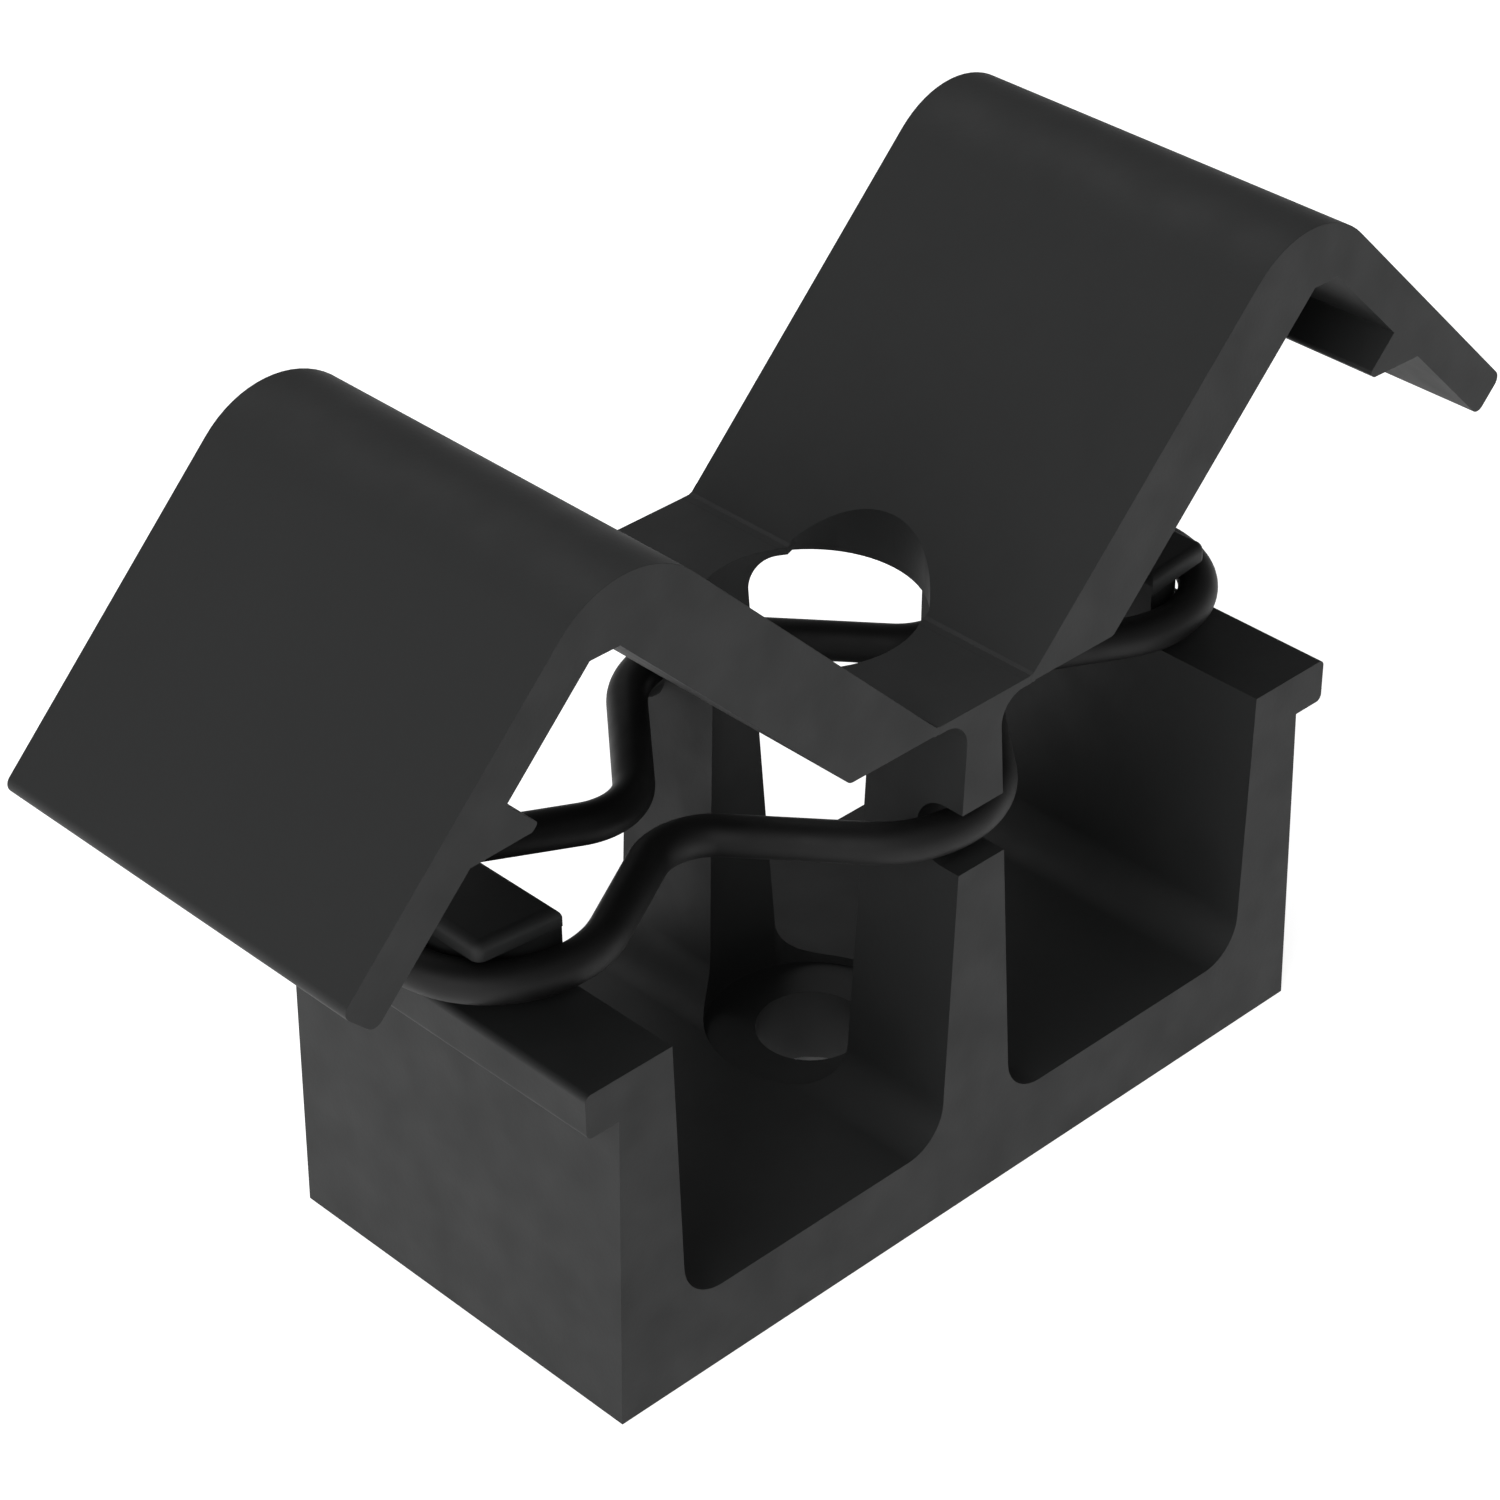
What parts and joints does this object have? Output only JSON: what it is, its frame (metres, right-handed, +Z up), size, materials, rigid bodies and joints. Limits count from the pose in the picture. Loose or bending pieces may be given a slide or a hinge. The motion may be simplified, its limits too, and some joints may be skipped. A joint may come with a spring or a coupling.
{
  "type": "slot nut cable tie",
  "caption": "Moulded cable block with open troughs side by side, film-hinged snap lids, a rubber ring looped over wall hooks and a stepped fixing bore through the middle.",
  "frame": {"origin": "where the axis of the fixing bore meets the flat underside, at the middle of the block's foot", "axes": "+X across the block from the left trough to the right one, +Y along the troughs from the front face to the back, +Z up along the fixing bore"},
  "size_m": [0.0632, 0.0196, 0.0385],
  "materials": {
    "black_plastic": "fine matte moulded surface",
    "black_rubber": "smooth with a soft sheen"
  },
  "bodies": {
    "block": {"base_body": "black_plastic", "retaining_ring": "black_rubber"},
    "left_cover": {"left_lid": "black_plastic"},
    "right_cover": {"right_lid": "black_plastic"}
  },
  "joints": [
    {"name": "left_lid_hinge", "type": "hinge", "parent": "block", "child": "left_cover", "pos_m": [-0.00275, 0, 0.02463], "axis": [0, -1, 0], "range_deg": [0, 45], "stiffness_Nm_per_rad": 0.03},
    {"name": "right_lid_hinge", "type": "hinge", "parent": "block", "child": "right_cover", "pos_m": [0.00275, 0, 0.02463], "axis": [0, 1, 0], "range_deg": [0, 45], "stiffness_Nm_per_rad": 0.03}
  ]
}
